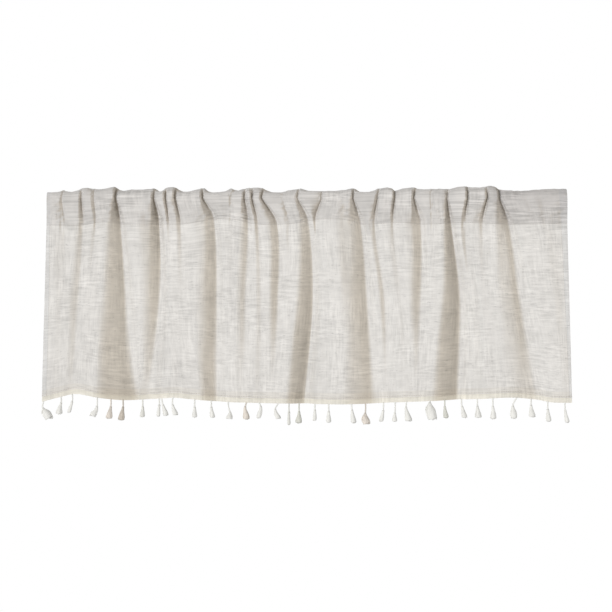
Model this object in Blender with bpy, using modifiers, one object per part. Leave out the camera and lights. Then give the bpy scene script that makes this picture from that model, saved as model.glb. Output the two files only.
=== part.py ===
"""Gathered rod pocket valance with a tasselled trim tape. Metres, +Z up.

The cloth is one sheet: its top is turned over a curtain rod and sewn down behind the front,
which makes the rod pocket. The gathers of the pocket run down into wide soft folds. A cream
tape is sewn behind the hem, and its tassels hang below it.
The origin is on the rod's axis at mid width. +X runs across the window and the front faces -Y.
"""

import math

import bmesh
import bpy
from mathutils import Matrix, Vector

MM = 0.001

# Cloth as it hangs
WIDTH_ON_ROD = 1.012
WIDTH_AT_HEM = 1.030
CLOTH_THICKNESS = 0.0008
ROD_CHANNEL_RADIUS = 0.0105
STITCH_DROP = 0.055
HEM_DROP = 0.3915
MIDDLE_DROP = 0.203
HEM_TURN = 0.012
HEM_LIFT_STARTS = 0.35
SEAM_LIFT_FADES = 0.12

# Front of the cloth, before the rod's axis
FRONT_AT_STITCH = 0.007
FRONT_AT_MIDDLE = 0.011
FRONT_AT_HEM = 0.014
PANEL_BULGE = 0.003
RETURN_ON_ROD = 0.003
RIDGE_ON_ROD = 0.009
CREASE_ON_ROD = 0.0004
BACK_RISE = 0.004

# Trim
TAPE_THICKNESS = 0.0008
TAPE_BEHIND_HEM = 0.005
TAPE_BELOW_HEM = 0.0095
CORD_RADIUS = 0.0014
KNOT_RADIUS = 0.0024
TASSEL_SIDES = 7
SEWN_GAP = 0.0003
MERGE_DISTANCE = 0.00001
SHARPEST_MITRE = 0.5

# Shares of the room between two creases that a fold may take
RETURN_SHARE = 0.35
FLANK_SHARE = 0.45
WIDE_PANEL = 0.03
MOST_PANEL_COLUMNS = 3
WIDE_FLANK = 0.030

# Shape of a wide flank half way to its crease: shares of the depth and of the rise
FLANK_HALF_DEPTH = 0.48
FLANK_HALF_RISE = 0.9

# Each gather from left to right:
# crease's place across the width on the rod, at the stitching, at middle height and at the hem
# crease's depth at the same four heights, in mm
# rise of the cloth before the rod left and right of the crease, in mm
# width of the flank left of the crease at the stitching and at the hem, then of the return
# right of it at the stitching and at the hem, in mm
GATHERS = (
    ((0.027, 0.031, 0.048, 0.064), (2, 4, 3, 3), (2, 2), (9, 26, 8, 16)),
    ((0.065, 0.067, 0.076, 0.091), (9, 8, 3, 2), (6, 9), (12, 24, 6, 16)),
    ((0.089, 0.092, 0.101, 0.113), (3, 2, 2, 2), (8, 8), (7, 16, 8, 14)),
    ((0.131, 0.141, 0.151, 0.165), (12, 15, 22, 26), (11, 4), (17, 56, 4, 9)),
    ((0.204, 0.214, 0.219, 0.216), (9, 15, 17, 4), (8, 4), (22, 22, 4, 14)),
    ((0.227, 0.231, 0.238, 0.250), (9, 5, 1, 1), (6, 10), (5, 8, 4, 10)),
    ((0.245, 0.254, 0.254, 0.272), (8, 8, 4, 1), (10, 2), (10, 16, 6, 14)),
    ((0.298, 0.320, 0.324, 0.331), (9, 14, 17, 21), (8, 2), (19, 40, 4, 9)),
    ((0.352, 0.352, 0.351, 0.356), (2, 2, 1, 1), (8, 4), (8, 12, 8, 12)),
    ((0.377, 0.383, 0.378, 0.382), (9, 9, 3, 2), (8, 6), (10, 16, 6, 12)),
    ((0.393, 0.402, 0.406, 0.409), (7, 4, 2, 1), (8, 9), (6, 9, 6, 10)),
    ((0.411, 0.440, 0.442, 0.435), (10, 13, 9, 4), (8, 2), (14, 18, 4, 14)),
    ((0.449, 0.460, 0.465, 0.456), (2, 3, 1, 1), (3, 3), (8, 12, 8, 12)),
    ((0.470, 0.500, 0.505, 0.498), (7, 15, 21, 27), (6, 8), (20, 44, 3, 4)),
    ((0.526, 0.512, 0.522, 0.535), (2, 3, 1, 1), (4, 4), (6, 12, 6, 12)),
    ((0.587, 0.601, 0.610, 0.624), (9, 14, 20, 24), (8, 2), (20, 46, 4, 14)),
    ((0.633, 0.629, 0.641, 0.664), (8, 9, 4, 3), (3, 9), (12, 22, 5, 16)),
    ((0.667, 0.662, 0.669, 0.687), (8, 7, 3, 1), (10, 4), (9, 14, 6, 14)),
    ((0.704, 0.718, 0.713, 0.717), (8, 12, 11, 3), (10, 6), (16, 18, 4, 14)),
    ((0.739, 0.743, 0.744, 0.747), (2, 3, 2, 1), (7, 7), (8, 10, 8, 12)),
    ((0.768, 0.776, 0.789, 0.793), (8, 15, 22, 28), (7, 9), (17, 56, 3, 5)),
    ((0.807, 0.801, 0.810, 0.819), (9, 9, 4, 2), (12, 10), (11, 16, 5, 14)),
    ((0.845, 0.835, 0.841, 0.848), (11, 9, 4, 1), (10, 13), (11, 14, 5, 14)),
    ((0.868, 0.889, 0.904, 0.923), (9, 14, 16, 14), (12, 5), (17, 48, 4, 18)),
)

# Place across the width, and how far the hem swings up there, in mm
HEM_LIFTS = (
    (0.000, 5), (0.030, 13), (0.064, 20), (0.104, 13), (0.155, 5), (0.206, 9), (0.246, 13),
    (0.280, 10), (0.337, 5), (0.394, 3), (0.488, 1), (0.564, 0), (0.621, 1), (0.677, 4),
    (0.753, 7), (0.810, 9), (0.886, 13), (0.933, 9), (0.961, 4), (1.000, 3),
)

# Place across the width, and how far the pocket's stitching is pulled up there, in mm
SEAM_LIFTS = (
    (0.000, 3), (0.065, 3), (0.110, 9), (0.150, 4), (0.220, 4), (0.270, 6), (0.315, 14), (0.360, 14),
    (0.400, 5), (0.470, 6), (0.530, 15), (0.575, 13), (0.610, 5), (0.680, 8), (0.730, 5),
    (0.800, 8), (0.880, 5), (1.000, 6),
)

# Place across the width, and the cloth's rise over the rod at the very top there, in mm
TOP_RISES = (
    (0.000, 0), (0.020, 2), (0.028, 5), (0.036, 2), (0.052, 2), (0.063, 7), (0.073, 10), (0.084, 8),
    (0.112, 8), (0.128, 12), (0.140, 4), (0.158, 6), (0.196, 7), (0.204, 9), (0.218, 2), (0.229, 10),
    (0.245, 10), (0.256, 3), (0.272, 3), (0.286, 6), (0.303, 9), (0.312, 2), (0.336, 2), (0.350, 8),
    (0.362, 4), (0.377, 8), (0.396, 10), (0.412, 9), (0.422, 3), (0.448, 1), (0.468, 6), (0.488, 8),
    (0.503, 4), (0.548, 4), (0.574, 6), (0.588, 9), (0.602, 2), (0.624, 2), (0.634, 8), (0.658, 10),
    (0.670, 4), (0.688, 9), (0.703, 10), (0.714, 6), (0.740, 8), (0.778, 8), (0.792, 14), (0.815, 11),
    (0.838, 11), (0.852, 14), (0.863, 12), (0.874, 6), (0.910, 4), (0.950, 7), (1.000, 8),
)

# Each tassel from left to right: place across the width, sideways run of its centre line at
# thirds of its drop, the drop and the skirt's width, in mm, and the share of the drop where
# the skirt is tied
TASSELS = (
    (0.003, (-3, 0, 8), 35, 18, 0.42), (0.036, (0, -3, -4), 35, 14, 0.38),
    (0.057, (0, -3, -7), 37, 8, 0.45), (0.104, (0, -2, -10), 37, 15, 0.50),
    (0.129, (0, -2, -4), 39, 14, 0.42), (0.151, (0, -2, -4), 41, 14, 0.38),
    (0.187, (0, 0, -1), 36, 11, 0.45), (0.220, (0, -1, -2), 36, 8, 0.40),
    (0.225, (2, 6, 9), 35, 12, 0.40), (0.247, (-1, 2, 6), 35, 12, 0.45),
    (0.288, (0, 0, 0), 36, 11, 0.45), (0.319, (0, 1, 3), 34, 11, 0.40),
    (0.351, (1, 4, 2), 34, 15, 0.62), (0.386, (-3, -1, 0), 34, 15, 0.28),
    (0.410, (3, 1, -2), 31, 10, 0.25), (0.447, (-7, -5, 0), 31, 12, 0.42),
    (0.466, (0, 0, 0), 43, 7, 0.42), (0.485, (0, 0, -1), 40, 14, 0.45),
    (0.515, (0, 0, -1), 34, 9, 0.40), (0.541, (0, 0, 0), 37, 11, 0.42),
    (0.584, (1, 3, 5), 38, 12, 0.35), (0.611, (0, -1, 3), 41, 17, 0.50),
    (0.645, (0, -2, -5), 38, 10, 0.45), (0.667, (0, -1, -1), 39, 11, 0.58),
    (0.688, (-1, 2, 5), 39, 15, 0.30), (0.732, (0, 3, 6), 38, 19, 0.18),
    (0.761, (0, 1, 3), 36, 12, 0.40), (0.794, (1, 4, 7), 38, 12, 0.42),
    (0.823, (0, 1, 2), 38, 15, 0.42), (0.851, (0, 1, 1), 42, 13, 0.42),
    (0.897, (-8, -7, -6), 42, 14, 0.42), (0.924, (0, 1, 3), 37, 14, 0.38),
    (0.955, (0, 1, 2), 40, 12, 0.42), (0.987, (0, 2, 5), 40, 10, 0.40),
)

# Rings of the cord and of the tied skirt below it: share of that piece's length, and the radius
# as a factor of the cord's (c), the knot's (k) or the skirt's (s)
CORD_RINGS = ((0.0, "c", 1.0), (0.5, "c", 1.0), (0.92, "c", 1.0))
SKIRT_RINGS = (
    (0.0, "k", 1.0), (0.08, "k", 1.0), (0.40, "s", 0.58), (0.72, "s", 0.88), (0.90, "s", 1.0),
    (1.00, "s", 0.78),
)
NARROWEST_SKIRT = 0.0022

# Heights of the sheet's rows, as shares of the way from the stitching to the hem's turn
BODY_ROWS = (0.0, 0.17, 0.35, 0.55, 0.78, 1.0)
POCKET_FRONT_ROWS = (0.33, 0.67)
ROD_ARC_STEPS = 4
POCKET_BACK_ROWS = (0.5,)

LINEN = (0.660, 0.620, 0.560, 1.0)
CREAM = (0.760, 0.730, 0.640, 1.0)
TASSEL_WHITE = (0.720, 0.710, 0.650, 1.0)


def clear_scene():
    for thing in list(bpy.data.objects):
        bpy.data.objects.remove(thing, do_unlink=True)


def make_material(name, colour, roughness):
    material = bpy.data.materials.new(name)
    material.use_nodes = True
    shader = material.node_tree.nodes["Principled BSDF"]
    shader.inputs["Base Color"].default_value = colour
    shader.inputs["Roughness"].default_value = roughness
    shader.inputs["Metallic"].default_value = 0.0
    material.diffuse_color = colour
    return material


def read_smoothly(places, values, at):
    """A smooth curve through the values at the places, read at one place between them."""
    last = len(places) - 1
    slopes = []
    for index in range(len(places)):
        before = max(index - 1, 0)
        after = min(index + 1, last)
        slopes.append((values[after] - values[before]) / (places[after] - places[before]))
    index = 0
    while index < last - 1 and at > places[index + 1]:
        index += 1
    span = places[index + 1] - places[index]
    t = min(max((at - places[index]) / span, 0.0), 1.0)
    start = values[index] * (1 + 2 * t) * (1 - t) ** 2 + slopes[index] * span * t * (1 - t) ** 2
    end = values[index + 1] * (3 - 2 * t) * t * t - slopes[index + 1] * span * (1 - t) * t * t
    return start + end


DROPS = (0.0, STITCH_DROP, MIDDLE_DROP, HEM_DROP)


def width_at(drop):
    share = min(max(drop / HEM_DROP, 0.0), 1.0)
    return WIDTH_ON_ROD + (WIDTH_AT_HEM - WIDTH_ON_ROD) * share


def front_at(drop):
    levels = (FRONT_AT_STITCH, FRONT_AT_STITCH, FRONT_AT_MIDDLE, FRONT_AT_HEM)
    return read_smoothly(DROPS, levels, drop)


def share_below_stitching(drop):
    return min(max((drop - STITCH_DROP) / (HEM_DROP - STITCH_DROP), 0.0), 1.0)


def fold_width(drop, on_rod, at_stitch, at_hem):
    """Width of a flank or a return at a height, from its widths on the rod and in mm below."""
    if drop < STITCH_DROP:
        return on_rod + (at_stitch * MM - on_rod) * drop / STITCH_DROP
    return (at_stitch + (at_hem - at_stitch) * share_below_stitching(drop)) * MM


def panel_columns(index):
    """How many columns the flat panel after a gather gets, counted from its mean width."""
    here = GATHERS[index][0]
    after = GATHERS[index + 1][0] if index + 1 < len(GATHERS) else (1.0,) * len(here)
    mean = sum(b - a for a, b in zip(here, after)) / len(here)
    return min(int(mean / WIDE_PANEL), MOST_PANEL_COLUMNS)


def bulge_at(step, columns, room):
    """How far a panel's column stands before the front, full in the middle of a wide panel."""
    across = step / (columns + 1)
    return 4 * across * (1 - across) * PANEL_BULGE * min(room / (WIDE_PANEL * width_at(0.0)), 1.0)


def section_at(drop):
    """The cloth's section at a height: for each column its x, its depth behind the front,
    and its rise over the rod, all in metres."""
    width = width_at(drop)
    creases = [
        (read_smoothly(DROPS, gather[0], drop) - 0.5) * width for gather in GATHERS
    ]
    bounds = [-width / 2] + creases + [width / 2]
    columns = []
    room_left = -width / 2
    rise_left = GATHERS[0][2][0] * MM
    columns.append((room_left, 0.0, rise_left))
    for index, gather in enumerate(GATHERS):
        crease = creases[index]
        depth_on_rod, *depths = gather[1]
        depth = read_smoothly(DROPS, (depths[0], *depths), drop) * MM
        widths = gather[3]
        before = crease - bounds[index]
        after = bounds[index + 2] - crease
        flank = min(fold_width(drop, RIDGE_ON_ROD, widths[0], widths[1]), FLANK_SHARE * before)
        back = min(fold_width(drop, RETURN_ON_ROD, widths[2], widths[3]), RETURN_SHARE * after)
        left_rise = gather[2][0] * MM
        right_rise = gather[2][1] * MM
        crease_rise = max(min(left_rise, right_rise) - depth_on_rod * MM, CREASE_ON_ROD)
        count = panel_columns(index - 1) if index else 1
        room = crease - flank - room_left
        for step in range(1, count + 1):
            x = room_left + room * step / (count + 1)
            rise = rise_left + (left_rise - rise_left) * step / (count + 1)
            columns.append((x, -bulge_at(step, count, room), rise))
        columns.append((crease - flank, 0.0, left_rise))
        if widths[1] * MM >= WIDE_FLANK:
            half_rise = left_rise * FLANK_HALF_RISE
            columns.append((crease - flank / 2, FLANK_HALF_DEPTH * depth, half_rise))
        columns.append((crease, depth, crease_rise))
        columns.append((crease + back, 0.0, right_rise))
        room_left = crease + back
        rise_left = right_rise
    count = panel_columns(len(GATHERS) - 1)
    room = width / 2 - room_left
    for step in range(1, count + 1):
        x = room_left + room * step / (count + 1)
        columns.append((x, -bulge_at(step, count, room), rise_left))
    columns.append((width / 2, 0.0, rise_left))
    return columns


def read_table(table, x, drop):
    """A table of places across the width and lengths in mm, read at one point of the cloth."""
    places = [place for place, length in table]
    lengths = [length * MM for place, length in table]
    return read_smoothly(places, lengths, x / width_at(drop) + 0.5)


def hem_lift(x, drop):
    share = (share_below_stitching(drop) - HEM_LIFT_STARTS) / (1 - HEM_LIFT_STARTS)
    return read_table(HEM_LIFTS, x, drop) * max(share, 0.0)


def seam_lift(x, drop):
    """The pull of the pocket's stitching, which fades in the cloth below it."""
    share = 1 - (drop - STITCH_DROP) / SEAM_LIFT_FADES
    return read_table(SEAM_LIFTS, x, drop) * max(share, 0.0)


def body_row(drop):
    """The sheet's points along one height below the rod."""
    front = front_at(drop)
    row = []
    for x, deep, _ in section_at(drop):
        lift = hem_lift(x, drop) + seam_lift(x, drop)
        row.append(Vector((x, deep - front, lift - drop)))
    return row


def rod_ring(angle):
    """The sheet's points along the rod, at an angle that turns from the front over the top."""
    points = []
    upright = math.sin(angle) ** 2
    for x, _, rise in section_at(0.0):
        if angle > math.pi / 2:
            rise = min(rise, BACK_RISE)
        rise = rise + (read_table(TOP_RISES, x, 0.0) - rise) * upright
        radius = ROD_CHANNEL_RADIUS + CLOTH_THICKNESS / 2 + rise
        points.append(Vector((x, -radius * math.cos(angle), radius * math.sin(angle))))
    return points


def rows_between(start, end, drop_start, drop_end, shares):
    """Rows on the straight lines between two rows, with each column's x read at its height."""
    rows = []
    for share in shares:
        places = section_at(drop_start + (drop_end - drop_start) * share)
        row = []
        for a, b, (x, _, _) in zip(start, end, places):
            point = a.lerp(b, share)
            row.append(Vector((x, point.y, point.z)))
        rows.append(row)
    return rows


def sheet_rows():
    """All rows of the sheet, from the hem up the front, over the rod and down to the stitching."""
    turn = HEM_DROP - HEM_TURN
    drops = [STITCH_DROP + (turn - STITCH_DROP) * share for share in BODY_ROWS]
    body = [body_row(drop) for drop in [HEM_DROP, *reversed(drops)]]
    stitched = body[-1]
    arc = [rod_ring(math.pi * step / ROD_ARC_STEPS) for step in range(ROD_ARC_STEPS + 1)]
    front = rows_between(stitched, arc[0], STITCH_DROP, 0.0, POCKET_FRONT_ROWS)
    back = rows_between(arc[-1], stitched, 0.0, STITCH_DROP, POCKET_BACK_ROWS)
    return body + front + arc + back + [stitched], len(body) - 1


def grid_sheet(name, rows):
    """A flat grid with one vertex for each point of each row, moved to those points."""
    mesh = bpy.data.meshes.new(name)
    sheet = bmesh.new()
    last_row = len(rows) - 1
    last_column = len(rows[0]) - 1
    bmesh.ops.create_grid(sheet, x_segments=last_column, y_segments=last_row, size=1.0)
    corners = {}
    for vertex in sheet.verts:
        column = round((vertex.co.x + 1) / 2 * last_column)
        row = round((vertex.co.y + 1) / 2 * last_row)
        corners[row, column] = vertex
        vertex.co = rows[row][column]
    return mesh, sheet, corners


def add_part(name, mesh, material, collection):
    mesh.materials.append(material)
    part = bpy.data.objects.new(name, mesh)
    collection.objects.link(part)
    return part


def add_thickness(part, thickness):
    solidify = part.modifiers.new("Cloth thickness", "SOLIDIFY")
    solidify.solidify_mode = "NON_MANIFOLD"
    solidify.nonmanifold_thickness_mode = "FIXED"
    solidify.nonmanifold_merge_threshold = MERGE_DISTANCE
    solidify.thickness = thickness
    solidify.offset = 0.0


def make_panel(material, collection):
    """The gathered cloth. The last row lies on the stitching's row and is sewn to it."""
    rows, stitched = sheet_rows()
    mesh, sheet, corners = grid_sheet("valance_panel", rows)
    last_row = len(rows) - 1
    sewn = {
        corners[last_row, column]: corners[stitched, column] for column in range(len(rows[0]))
    }
    bmesh.ops.weld_verts(sheet, targetmap=sewn)
    sheet.to_mesh(mesh)
    sheet.free()
    panel = add_part("valance_panel", mesh, material, collection)
    add_thickness(panel, CLOTH_THICKNESS)
    return panel


def moved_back(points, distance):
    """A row of points moved back square to its own run in plan, mitred at its corners."""
    moved = []
    last = len(points) - 1
    for index, point in enumerate(points):
        before = points[max(index - 1, 0)]
        after = points[min(index + 1, last)]
        normal_before = across_run(before, point) if index else None
        normal_after = across_run(point, after) if index < last else None
        if normal_before is None:
            normal = normal_after
        elif normal_after is None:
            normal = normal_before
        else:
            normal = (normal_before + normal_after).normalized()
            normal = normal / max(normal.dot(normal_after), SHARPEST_MITRE)
        moved.append(point + normal * distance)
    return moved


def across_run(start, end):
    run = end - start
    return Vector((-run.y, run.x, 0.0)).normalized()


def tape_rows():
    """The tape's upper row behind the hem, and its lower row below the hem's edge."""
    hem = body_row(HEM_DROP)
    turn = body_row(HEM_DROP - HEM_TURN)
    upper = [a.lerp(b, TAPE_BEHIND_HEM / HEM_TURN) for a, b in zip(hem, turn)]
    behind = CLOTH_THICKNESS / 2 + SEWN_GAP + TAPE_THICKNESS / 2
    upper = moved_back(upper, behind)
    lower = [point - Vector((0, 0, TAPE_BELOW_HEM)) for point in moved_back(hem, behind)]
    return [lower, upper]


def make_tape(material, collection):
    mesh, sheet, _ = grid_sheet("trim_tape", tape_rows())
    sheet.to_mesh(mesh)
    sheet.free()
    tape = add_part("trim_tape", mesh, material, collection)
    add_thickness(tape, TAPE_THICKNESS)
    return tape


def point_on_row(row, x):
    for start, end in zip(row, row[1:]):
        if start.x <= x <= end.x:
            return start.lerp(end, (x - start.x) / (end.x - start.x))
    return row[-1].copy()


def tassel_rings(tassel, top):
    """Centre and radius of each ring of a tassel, from its cord's top to its skirt's end."""
    _, runs, drop, skirt, knot = tassel
    sizes = {"c": CORD_RADIUS, "k": KNOT_RADIUS, "s": max(skirt * MM / 2, NARROWEST_SKIRT)}
    rings = [(knot * share, kind, factor) for share, kind, factor in CORD_RINGS]
    rings += [(knot + (1 - knot) * share, kind, factor) for share, kind, factor in SKIRT_RINGS]
    thirds = [step / len(runs) for step in range(len(runs) + 1)]
    made = []
    for share, kind, factor in rings:
        side = read_smoothly(thirds, (0, *runs), share)
        centre = top + Vector((side * MM, 0, -drop * MM * share))
        made.append((centre, sizes[kind] * factor))
    return made


def make_tassel(number, tassel, edge, material, collection):
    """A cord, a tied knot and a flared skirt, drawn out ring by ring down a bent centre line."""
    top = point_on_row(edge, (tassel[0] - 0.5) * width_at(HEM_DROP))
    top.z -= SEWN_GAP
    rings = tassel_rings(tassel, top)
    mesh = bpy.data.meshes.new(f"tassel_{number:02d}")
    form = bmesh.new()
    circle = bmesh.ops.create_circle(form, segments=TASSEL_SIDES, radius=rings[0][1], cap_ends=True)
    bmesh.ops.translate(form, verts=circle["verts"], vec=rings[0][0])
    face = form.faces[:][0]
    heading = Vector((0, 0, -1))
    last = len(rings) - 1
    for index in range(1, last + 1):
        before, radius_before = rings[index - 1]
        centre, radius = rings[index]
        grown = bmesh.ops.extrude_face_region(form, geom=[face, *face.edges])["geom"]
        ring = [item for item in grown if isinstance(item, bmesh.types.BMVert)]
        face = next(item for item in grown if isinstance(item, bmesh.types.BMFace))
        run = rings[min(index + 1, last)][0] - before
        turn = heading.rotation_difference(run).to_matrix().to_4x4()
        size = Matrix.Scale(radius / radius_before, 4)
        move = Matrix.Translation(centre) @ turn @ size @ Matrix.Translation(-before)
        bmesh.ops.transform(form, matrix=move, verts=ring)
        heading = run
    bmesh.ops.recalc_face_normals(form, faces=form.faces)
    form.to_mesh(mesh)
    form.free()
    return add_part(f"tassel_{number:02d}", mesh, material, collection)


def main():
    clear_scene()
    parts = bpy.data.collections.new("valance")
    bpy.context.scene.collection.children.link(parts)
    linen = make_material("linen cloth", LINEN, 0.9)
    cream = make_material("cream tape", CREAM, 0.85)
    make_panel(linen, parts)
    make_tape(cream, parts)
    edge = tape_rows()[0]
    for number, tassel in enumerate(TASSELS, start=1):
        white = make_material(f"tassel yarn {number:02d}", TASSEL_WHITE, 0.9)
        make_tassel(number, tassel, edge, white, parts)


main()
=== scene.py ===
import math
import random

import bmesh
import bpy
import numpy as np
from mathutils import Matrix, Vector, noise


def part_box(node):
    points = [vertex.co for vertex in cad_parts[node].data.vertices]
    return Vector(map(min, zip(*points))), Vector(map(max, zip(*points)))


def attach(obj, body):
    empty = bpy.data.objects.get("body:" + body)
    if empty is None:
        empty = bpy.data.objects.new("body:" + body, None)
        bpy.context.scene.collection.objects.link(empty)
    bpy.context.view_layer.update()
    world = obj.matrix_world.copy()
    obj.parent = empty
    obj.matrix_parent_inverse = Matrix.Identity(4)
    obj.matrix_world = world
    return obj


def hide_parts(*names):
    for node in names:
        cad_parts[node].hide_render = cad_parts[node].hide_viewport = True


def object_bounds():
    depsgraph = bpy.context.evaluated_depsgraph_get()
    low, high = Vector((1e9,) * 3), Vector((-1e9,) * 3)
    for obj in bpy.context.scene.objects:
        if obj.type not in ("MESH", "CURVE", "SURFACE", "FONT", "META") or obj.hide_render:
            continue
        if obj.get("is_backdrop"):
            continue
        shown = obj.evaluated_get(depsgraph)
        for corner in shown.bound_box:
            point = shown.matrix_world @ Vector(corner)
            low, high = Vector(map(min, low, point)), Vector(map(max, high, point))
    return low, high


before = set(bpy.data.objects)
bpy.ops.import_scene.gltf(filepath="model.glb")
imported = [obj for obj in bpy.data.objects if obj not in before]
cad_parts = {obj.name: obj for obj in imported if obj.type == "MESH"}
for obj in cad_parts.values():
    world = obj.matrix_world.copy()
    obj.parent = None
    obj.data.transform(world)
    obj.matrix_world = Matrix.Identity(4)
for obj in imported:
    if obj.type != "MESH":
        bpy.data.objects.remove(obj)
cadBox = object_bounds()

mm = 0.001
scene = bpy.context.scene
panelLow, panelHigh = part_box("valance_panel")

# the cloth as it hangs, in metres; drops are counted down from the rod's axis
cloth = {
    "widthOnRod": 1.012,
    "widthAtHem": panelHigh.x - panelLow.x,
    "flatWidth": 1.32,
    "flatLength": 0.49,
    "thickness": 0.0006,
    "nextLayer": 1.15,  # from the middle of one layer to the middle of the next, in thicknesses
    "channelRadius": 0.0105,
    "stitchDrop": 0.055,
    "middleDrop": 0.203,
    "hemDrop": 0.3915,
    "hemTurn": 0.012,
    "liftStarts": 0.35,  # share of the body above which the hem's swing isn't felt
    "frontAtStitch": 0.007,
    "frontAtMiddle": 0.011,
    "frontAtHem": 0.014,
    "bulge": 0.003,
    "fullBulge": 0.05,  # a panel at least this wide bulges fully
    "returnOnRod": 0.0022,
    "ridgeOnRod": 0.008,
    "creaseOnRod": 0.0004,
    "backRise": 0.004,
    "topEdge": 5,  # the higher, the nearer to the very top the table of rises counts
    "lean": 0.005,  # how far the creases lean sideways at the very top
    "leanRight": 0.35,
    "leanFull": 0.04,  # in full this far in from the side edges
    "seamFades": 0.12,
    "seamRidge": 0.0005,
    "ridgeReach": 0.0025,
    "pinchReach": 0.012,
    "lip": 0.004,  # turned edge of the pocket below its stitching
    "bodyRows": 66,
    "pocketRows": 13,
    "arcRows": 16,
    "backRows": 9,
    "measuredRows": 6,  # one in so many rows of the body gives the flat width
    "mostFlank": 0.72,  # shares of the way to the next crease
    "mostReturn": 0.25,
    "flankDepth": 0.36,  # shares of the crease's depth and of the rise, half way along a flank
    "flankRise": 0.9,
    "pinched": 0.6,
    "softness": (0.0009, 0.0028, 0.0060, 0.0080),  # on the rod, at the stitching, in the middle, at the hem
    "rounding": 0.35,
    "flatStep": 0.0040,
    "flankSteps": 4,
    "foldSteps": 5,
}

# each gather: crease's place across the width on the rod, at the stitching, in the middle, at the hem
# depth there, mm; rise before the rod left and right of the crease, mm
# the flank's width at the stitching and at the hem, and the return's at both, mm
gathers = [
    ((0.030, 0.036, 0.042, 0.042), (4, 2, 0.3, 0.3), (3, 3), (13, 12, 8, 12)),
    ((0.068, 0.072, 0.070, 0.062), (10, 4, 5, 4), (6, 9), (15, 40, 6, 16)),
    ((0.092, 0.095, 0.084, 0.080), (3, 2, 0.5, 0.5), (8, 8), (7, 12, 8, 10)),
    ((0.134, 0.146, 0.161, 0.171), (12, 15, 24, 28), (11, 4), (28, 74, 4, 10)),
    ((0.207, 0.219, 0.226, 0.211), (9, 16, 20, 33), (8, 4), (22, 46, 4, 34)),
    ((0.230, 0.236, 0.244, 0.264), (10, 3, 1, 1), (9, 10), (5, 8, 4, 10)),
    ((0.248, 0.259, 0.266, 0.285), (9, 4, 1, 1), (10, 2), (10, 16, 6, 14)),
    ((0.301, 0.325, 0.334, 0.337), (9, 9, 15, 17), (8, 2), (24, 50, 4, 12)),
    ((0.355, 0.357, 0.360, 0.364), (0.5, 0.3, 1, 1), (5, 4), (8, 12, 8, 12)),
    ((0.381, 0.390, 0.388, 0.388), (9, 7, 7, 2), (8, 6), (20, 28, 6, 14)),
    ((0.396, 0.407, 0.415, 0.415), (8, 4, 4, 3), (8, 9), (9, 18, 8, 14)),
    ((0.414, 0.446, 0.451, 0.446), (10, 9, 11, 2), (8, 2), (20, 28, 6, 12)),
    ((0.454, 0.466, 0.464, 0.452), (1, 2, 0.5, 0.5), (3, 3), (8, 8, 6, 6)),
    ((0.483, 0.507, 0.518, 0.504), (6, 8, 26, 34), (6, 8), (22, 51, 3, 4)),
    ((0.529, 0.517, 0.530, 0.526), (4, 10, 8, 5), (6, 6), (7, 10, 6, 10)),
    ((0.590, 0.608, 0.622, 0.634), (9, 9, 17, 18), (8, 2), (28, 58, 4, 14)),
    ((0.637, 0.633, 0.654, 0.662), (11, 5, 11, 16), (7, 9), (12, 30, 5, 16)),
    ((0.670, 0.667, 0.684, 0.694), (9, 3, 2, 3), (10, 4), (9, 26, 6, 8)),
    ((0.707, 0.723, 0.725, 0.712), (8, 10, 10, 1), (10, 6), (26, 32, 6, 12)),
    ((0.742, 0.744, 0.736, 0.720), (1.5, 0.2, 0.5, 0.5), (7, 7), (8, 10, 8, 6)),
    ((0.771, 0.781, 0.800, 0.796), (10, 16, 30, 36), (7, 9), (17, 70, 3, 9)),
    ((0.810, 0.806, 0.818, 0.821), (9, 3, 21, 19), (12, 10), (11, 26, 5, 16)),
    ((0.848, 0.840, 0.846, 0.856), (14, 4, 1, 1), (10, 13), (11, 14, 5, 14)),
    ((0.871, 0.894, 0.915, 0.944), (9, 12, 13, 11), (12, 5), (34, 80, 6, 26)),
]

# by the gather's number: how far back the cloth stays on its right, on the rod, at the stitching,
# in the middle and at the hem, mm
staysBack = {4: (0, 0, 7, 30), 16: (0, 0, 3, 10), 21: (0, 0, 12, 12)}

# place across the width, and the cloth's rise over the rod at the very top there, mm
topRises = [
    (0.000, 0), (0.020, 2), (0.028, 5), (0.036, 2), (0.052, 2), (0.063, 7), (0.073, 10), (0.084, 8),
    (0.112, 8), (0.128, 12), (0.140, 4), (0.158, 6), (0.196, 7), (0.204, 9), (0.218, 2), (0.229, 10),
    (0.245, 10), (0.256, 3), (0.272, 3), (0.286, 6), (0.303, 9), (0.312, 2), (0.336, 2), (0.350, 8),
    (0.362, 4), (0.377, 8), (0.396, 10), (0.412, 9), (0.422, 3), (0.448, 1), (0.468, 6), (0.488, 8),
    (0.503, 4), (0.548, 4), (0.574, 6), (0.588, 9), (0.602, 2), (0.624, 2), (0.634, 8), (0.658, 10),
    (0.670, 4), (0.688, 9), (0.703, 10), (0.714, 6), (0.740, 8), (0.778, 8), (0.792, 14), (0.815, 11),
    (0.838, 11), (0.852, 14), (0.863, 12), (0.874, 6), (0.910, 4), (0.950, 7), (1.000, 8),
]

# place across the width, and how far the hem swings up there, mm
hemLifts = [
    (0.000, 5), (0.030, 13), (0.064, 20), (0.104, 13), (0.155, 7), (0.206, 9), (0.246, 13),
    (0.280, 10), (0.337, 5), (0.394, 3), (0.488, 1), (0.564, 0), (0.621, 1), (0.677, 4),
    (0.753, 7), (0.810, 9), (0.886, 13), (0.933, 9), (0.961, 4), (1.000, 3),
]

# place across the width, and how far the pocket's stitching is pulled up there, mm
seamLifts = [
    (0.000, 3), (0.065, 3), (0.110, 9), (0.150, 4), (0.220, 4), (0.270, 6), (0.315, 14), (0.360, 14),
    (0.400, 5), (0.470, 6), (0.530, 15), (0.575, 13), (0.610, 5), (0.680, 8), (0.730, 5),
    (0.800, 8), (0.880, 5), (1.000, 6),
]

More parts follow.
